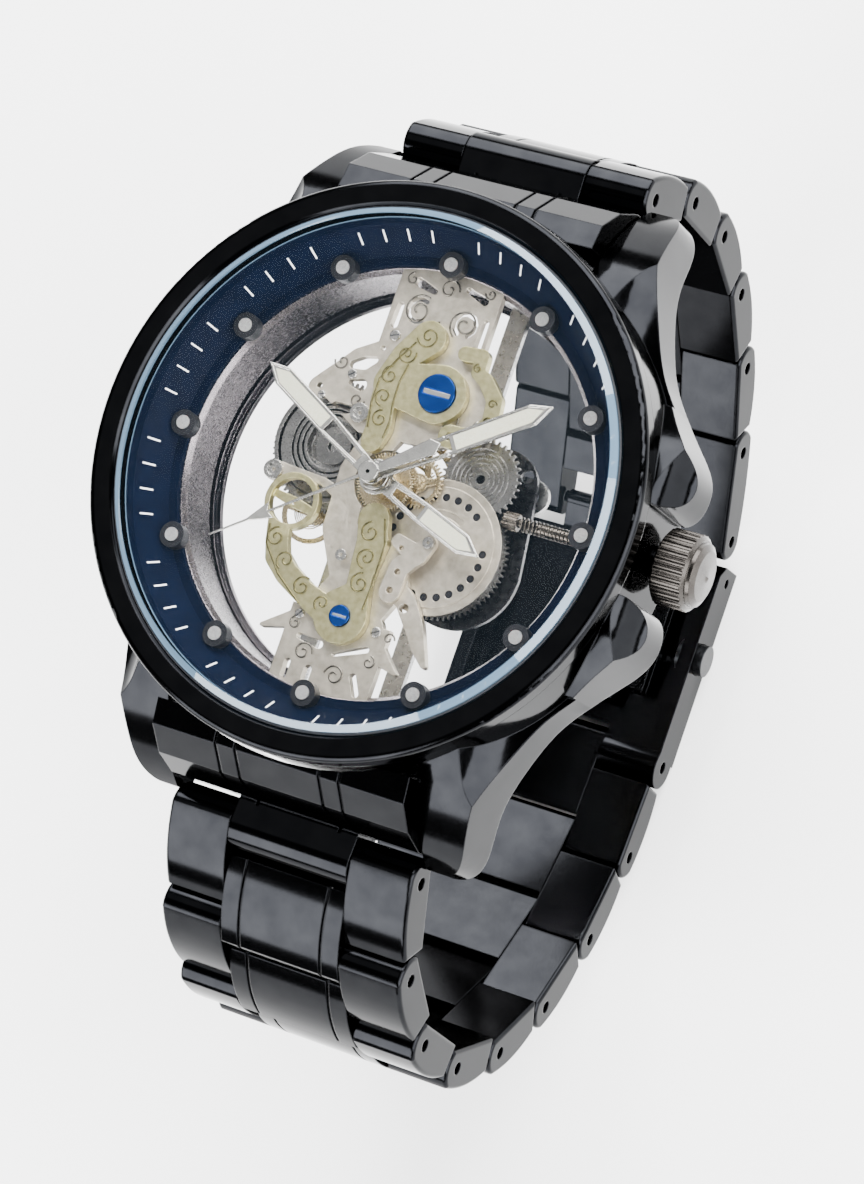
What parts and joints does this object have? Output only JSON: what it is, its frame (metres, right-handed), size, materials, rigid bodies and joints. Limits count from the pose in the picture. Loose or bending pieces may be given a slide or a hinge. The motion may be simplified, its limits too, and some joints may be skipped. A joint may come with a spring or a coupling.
{
  "type": "skeleton wristwatch",
  "caption": "Skeleton wristwatch with open movement behind a round crystal, fluted crown and a linked steel bracelet closed by a push-button folding clasp.",
  "frame": {"origin": "on the dial's axis, in the plane of the clasp's flat outer face, which is the lowest face", "axes": "+X to the crown at 3 o'clock, +Y to 12 o'clock, +Z out of the dial; the bracelet loop hangs below the case"},
  "size_m": [0.0458, 0.0696, 0.054],
  "materials": {
    "black_steel": "polished black coating",
    "dark_steel": "gunmetal polish",
    "steel": "satin",
    "crystal": "polished",
    "gasket": "matte",
    "dial_blue": "satin lacquer",
    "ring_metal": "satin",
    "cup_black": "satin",
    "lume": "matte",
    "nickel_silver": "frosted",
    "gilt": "satin",
    "blued_steel": "polished",
    "brass": "satin",
    "hand_steel": "polished"
  },
  "bodies": {
    "clasp_cover": {"clasp_cover": "black_steel"},
    "clasp_button_right": {"clasp_button_right": "dark_steel"},
    "clasp_button_left": {"clasp_button_left": "dark_steel"},
    "clasp_inner_blade": {"clasp_inner_blade": "steel"},
    "clasp_outer_blade": {"clasp_outer_blade": "steel"},
    "link_6_1": {"link_6_1": "black_steel"},
    "link_6_2": {"link_6_2": "black_steel"},
    "link_6_3": {"link_6_3": "black_steel"},
    "link_6_4": {"link_6_4": "black_steel"},
    "link_6_5": {"link_6_5": "black_steel"},
    "link_6_6": {"link_6_6": "black_steel"},
    "link_6_7": {"link_6_7": "black_steel"},
    "link_6_8": {"link_6_8": "black_steel"},
    "link_12_1": {"link_12_1": "black_steel"},
    "link_12_2": {"link_12_2": "black_steel"},
    "link_12_3": {"link_12_3": "black_steel"},
    "link_12_4": {"link_12_4": "black_steel"},
    "link_12_5": {"link_12_5": "black_steel"},
    "link_12_6": {"link_12_6": "black_steel"},
    "case": {"mid_case": "black_steel", "bezel": "black_steel", "crystal": "crystal", "crystal_gasket": "gasket", "case_back": "black_steel", "case_back_crystal": "crystal", "dial_ring": "dial_blue", "movement_ring": "ring_metal", "hour_marker_cups": "cup_black", "hour_marker_pips": "lume", "spring_bars": "steel", "end_link_12": "black_steel", "end_link_6": "black_steel", "main_plate": "nickel_silver", "scroll_bridge": "nickel_silver", "rear_bridges": "nickel_silver", "upper_bridge": "gilt", "hook_bridge": "gilt", "balance_cock": "gilt", "blued_screws": "blued_steel", "jewels": "steel"},
    "winding_pinion": {"winding_pinion": "steel"},
    "crown": {"crown": "dark_steel", "winding_stem": "steel"},
    "crown_wheel": {"crown_wheel": "steel"},
    "ratchet_wheel": {"ratchet_wheel": "nickel_silver"},
    "barrel_left": {"barrel_left": "steel"},
    "barrel_right": {"barrel_right": "steel"},
    "minute_work": {"center_wheel": "brass", "minute_hand": "hand_steel"},
    "minute_wheel": {"minute_wheel": "brass"},
    "hour_work": {"hour_wheel": "brass", "hour_hand": "hand_steel"},
    "dual_time_work": {"dual_time_wheel": "brass", "dual_time_hand": "hand_steel"},
    "third_wheel": {"third_wheel": "brass"},
    "seconds_work": {"fourth_wheel": "brass", "seconds_hand": "hand_steel"},
    "escape_wheel": {"escape_wheel": "brass"},
    "pallet_fork": {"pallet_fork": "steel"},
    "balance_wheel": {"balance_wheel": "brass"}
  },
  "joints": [
    {"name": "button_right_push", "type": "slide", "parent": "clasp_cover", "child": "clasp_button_right", "axis": [-1, 0, 0], "range_m": [0, 0.0006], "stiffness_N_per_m": 400},
    {"name": "button_left_push", "type": "slide", "parent": "clasp_cover", "child": "clasp_button_left", "axis": [1, 0, 0], "range_m": [0, 0.0006], "stiffness_N_per_m": 400},
    {"name": "inner_blade_unfold", "type": "hinge", "parent": "clasp_cover", "child": "clasp_inner_blade", "pos_m": [0, 0.006, 0.00175], "axis": [-1, 0, 0], "range_deg": [0, 85]},
    {"name": "outer_blade_unfold", "type": "hinge", "parent": "clasp_inner_blade", "child": "clasp_outer_blade", "pos_m": [0, -0.0054, 0.0021], "axis": [1, 0, 0], "range_deg": [0, 120]},
    {"name": "link_6_8_pivot", "type": "hinge", "parent": "clasp_cover", "child": "link_6_8", "pos_m": [0, -0.00995, 0.00216], "axis": [1, 0, 0], "range_deg": [0, 12]},
    {"name": "link_6_7_pivot", "type": "hinge", "parent": "link_6_8", "child": "link_6_7", "pos_m": [0, -0.01772, 0.00284], "axis": [1, 0, 0], "range_deg": [0, 15]},
    {"name": "link_6_6_pivot", "type": "hinge", "parent": "link_6_7", "child": "link_6_6", "pos_m": [0, -0.02505, 0.00551], "axis": [1, 0, 0], "range_deg": [0, 17]},
    {"name": "link_6_5_pivot", "type": "hinge", "parent": "link_6_6", "child": "link_6_5", "pos_m": [0, -0.03128, 0.0102], "axis": [1, 0, 0], "range_deg": [0, 18]},
    {"name": "link_6_4_pivot", "type": "hinge", "parent": "link_6_5", "child": "link_6_4", "pos_m": [0, -0.03575, 0.01659], "axis": [1, 0, 0], "range_deg": [0, 20]},
    {"name": "link_6_3_pivot", "type": "hinge", "parent": "link_6_4", "child": "link_6_3", "pos_m": [0, -0.03777, 0.02413], "axis": [1, 0, 0], "range_deg": [0, 22]},
    {"name": "link_6_2_pivot", "type": "hinge", "parent": "link_6_3", "child": "link_6_2", "pos_m": [0, -0.03682, 0.03187], "axis": [1, 0, 0], "range_deg": [0, 25]},
    {"name": "link_6_1_pivot", "type": "hinge", "parent": "link_6_2", "child": "link_6_1", "pos_m": [0, -0.03269, 0.03848], "axis": [1, 0, 0], "range_deg": [0, 27]},
    {"name": "end_link_6_pivot", "type": "hinge", "parent": "link_6_1", "child": "case", "pos_m": [0, -0.026, 0.0425], "axis": [1, 0, 0], "range_deg": [0, 25]},
    {"name": "link_12_1_pivot", "type": "hinge", "parent": "case", "child": "link_12_1", "pos_m": [0, 0.026, 0.0425], "axis": [1, 0, 0], "range_deg": [0, 40]},
    {"name": "link_12_2_pivot", "type": "hinge", "parent": "link_12_1", "child": "link_12_2", "pos_m": [0, 0.02828, 0.03504], "axis": [1, 0, 0], "range_deg": [0, 18]},
    {"name": "link_12_3_pivot", "type": "hinge", "parent": "link_12_2", "child": "link_12_3", "pos_m": [0, 0.02814, 0.02724], "axis": [1, 0, 0], "range_deg": [0, 17]},
    {"name": "link_12_4_pivot", "type": "hinge", "parent": "link_12_3", "child": "link_12_4", "pos_m": [0, 0.02573, 0.01982], "axis": [1, 0, 0], "range_deg": [0, 15]},
    {"name": "link_12_5_pivot", "type": "hinge", "parent": "link_12_4", "child": "link_12_5", "pos_m": [0, 0.02149, 0.01328], "axis": [1, 0, 0], "range_deg": [0, 14]},
    {"name": "link_12_6_pivot", "type": "hinge", "parent": "link_12_5", "child": "link_12_6", "pos_m": [0, 0.01578, 0.00796], "axis": [1, 0, 0], "range_deg": [0, 11]},
    {"name": "crown_turn", "type": "hinge", "parent": "case", "child": "winding_pinion", "pos_m": [0.01, 0, 0.04755], "axis": [1, 0, 0], "continuous": true},
    {"name": "crown_pull", "type": "slide", "parent": "winding_pinion", "child": "crown", "axis": [1, 0, 0], "range_m": [0, 0.001]},
    {"name": "crown_wheel_turn", "type": "hinge", "parent": "case", "child": "crown_wheel", "pos_m": [0.0065, 0.0022, 0.0465], "axis": [0, 0, 1], "continuous": true},
    {"name": "ratchet_wheel_turn", "type": "hinge", "parent": "case", "child": "ratchet_wheel", "pos_m": [0.005, -0.00335, 0.0465], "axis": [0, 0, 1], "continuous": true},
    {"name": "seconds_turn", "type": "hinge", "parent": "case", "child": "seconds_work", "pos_m": [0, 0, 0.0465], "axis": [0, 0, 1], "continuous": true},
    {"name": "third_wheel_turn", "type": "hinge", "parent": "case", "child": "third_wheel", "pos_m": [0.0005, 0.005, 0.0465], "axis": [0, 0, 1], "continuous": true},
    {"name": "minute_turn", "type": "hinge", "parent": "case", "child": "minute_work", "pos_m": [0, 0, 0.0465], "axis": [0, 0, 1], "continuous": true},
    {"name": "minute_wheel_turn", "type": "hinge", "parent": "case", "child": "minute_wheel", "pos_m": [0.0023, 0.0007, 0.0465], "axis": [0, 0, 1], "continuous": true},
    {"name": "hour_turn", "type": "hinge", "parent": "case", "child": "hour_work", "pos_m": [0, 0, 0.0465], "axis": [0, 0, 1], "continuous": true},
    {"name": "dual_time_turn", "type": "hinge", "parent": "case", "child": "dual_time_work", "pos_m": [0, 0, 0.0465], "axis": [0, 0, 1], "continuous": true},
    {"name": "barrel_left_turn", "type": "hinge", "parent": "case", "child": "barrel_left", "pos_m": [-0.00575, 0.0018, 0.0465], "axis": [0, 0, 1], "continuous": true},
    {"name": "barrel_right_turn", "type": "hinge", "parent": "case", "child": "barrel_right", "pos_m": [0.005, -0.00335, 0.0465], "axis": [0, 0, 1], "continuous": true},
    {"name": "escape_wheel_turn", "type": "hinge", "parent": "case", "child": "escape_wheel", "pos_m": [-0.0026, -0.0016, 0.0465], "axis": [0, 0, 1], "continuous": true},
    {"name": "pallet_fork_swing", "type": "hinge", "parent": "case", "child": "pallet_fork", "pos_m": [-0.00433, -0.00238, 0.0456], "axis": [0, 0, 1], "range_deg": [-6, 6]},
    {"name": "balance_swing", "type": "hinge", "parent": "case", "child": "balance_wheel", "pos_m": [-0.00613, -0.0032, 0.0459], "axis": [0, 0, 1], "range_deg": [-135, 135], "stiffness_Nm_per_rad": 0.00000002}
  ],
  "couplings": [
    {"joint": "third_wheel_turn", "follows": "seconds_turn", "ratio": -0.13333},
    {"joint": "minute_turn", "follows": "seconds_turn", "ratio": 0.016667},
    {"joint": "barrel_left_turn", "follows": "seconds_turn", "ratio": -0.0041667},
    {"joint": "barrel_right_turn", "follows": "seconds_turn", "ratio": -0.0041667},
    {"joint": "minute_wheel_turn", "follows": "seconds_turn", "ratio": -0.0055556},
    {"joint": "hour_turn", "follows": "seconds_turn", "ratio": 0.0013889},
    {"joint": "dual_time_turn", "follows": "seconds_turn", "ratio": 0.00069444},
    {"joint": "escape_wheel_turn", "follows": "seconds_turn", "ratio": -7.7778},
    {"joint": "crown_wheel_turn", "follows": "crown_turn", "ratio": -0.33333},
    {"joint": "ratchet_wheel_turn", "follows": "crown_turn", "ratio": 0.34286}
  ]
}
